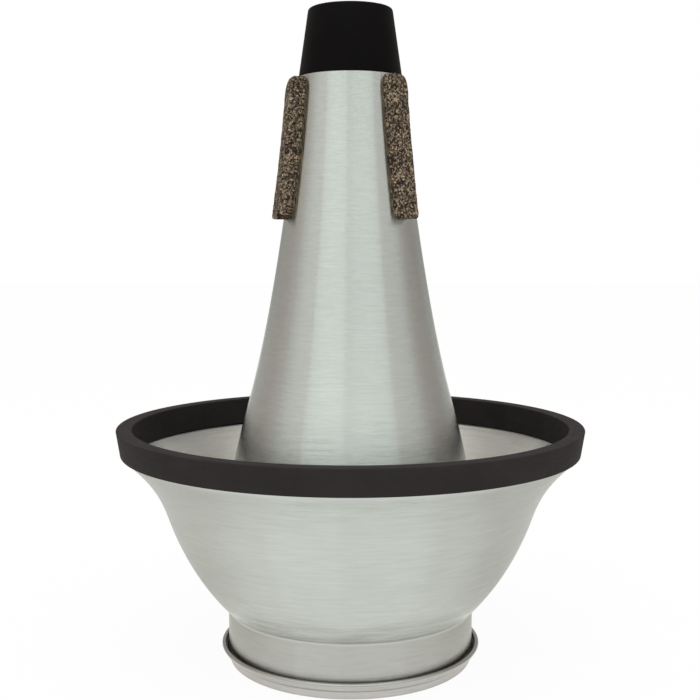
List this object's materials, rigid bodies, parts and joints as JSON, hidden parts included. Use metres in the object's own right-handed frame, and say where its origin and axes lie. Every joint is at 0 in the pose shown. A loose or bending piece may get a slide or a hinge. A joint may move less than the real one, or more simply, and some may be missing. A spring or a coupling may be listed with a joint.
{
  "type": "trombone cup mute",
  "caption": "Adjustable cup mute for trombone: aluminium cone with black throat tip and cork strips, base cap, and a rubber-rimmed cup that slides and turns on the cone.",
  "frame": {"origin": "middle of the base cap's underside, on the mute's axis", "axes": "+Z along the axis from the base cap to the throat tip; -Y faces the camera of the picture, +X is its right"},
  "size_m": [0.1778, 0.1778, 0.2474],
  "materials": {
    "spun_aluminium": "spun, fine circumferential brushing",
    "tip_plastic": "satin moulded black",
    "composition_cork": "granulated cork, dark and light grains",
    "grip_felt": "dense felt",
    "rim_rubber": "matt brown-black extrusion"
  },
  "bodies": {
    "mute_body": {"cone_shell": "spun_aluminium", "throat_tip": "tip_plastic", "cork_right": "composition_cork", "cork_back": "composition_cork", "cork_left": "composition_cork", "base_cap": "spun_aluminium"},
    "grip": {"grip_ring": "grip_felt"},
    "cup": {"cup_bowl": "spun_aluminium", "rim_ring": "rim_rubber"}
  },
  "joints": [
    {"name": "cup_slide", "type": "slide", "parent": "mute_body", "child": "grip", "axis": [0, 0, 1], "range_m": [0, 0.25]},
    {"name": "cup_turn", "type": "hinge", "parent": "grip", "child": "cup", "pos_m": [0, 0, 0.0125], "axis": [0, 0, 1], "continuous": true}
  ]
}
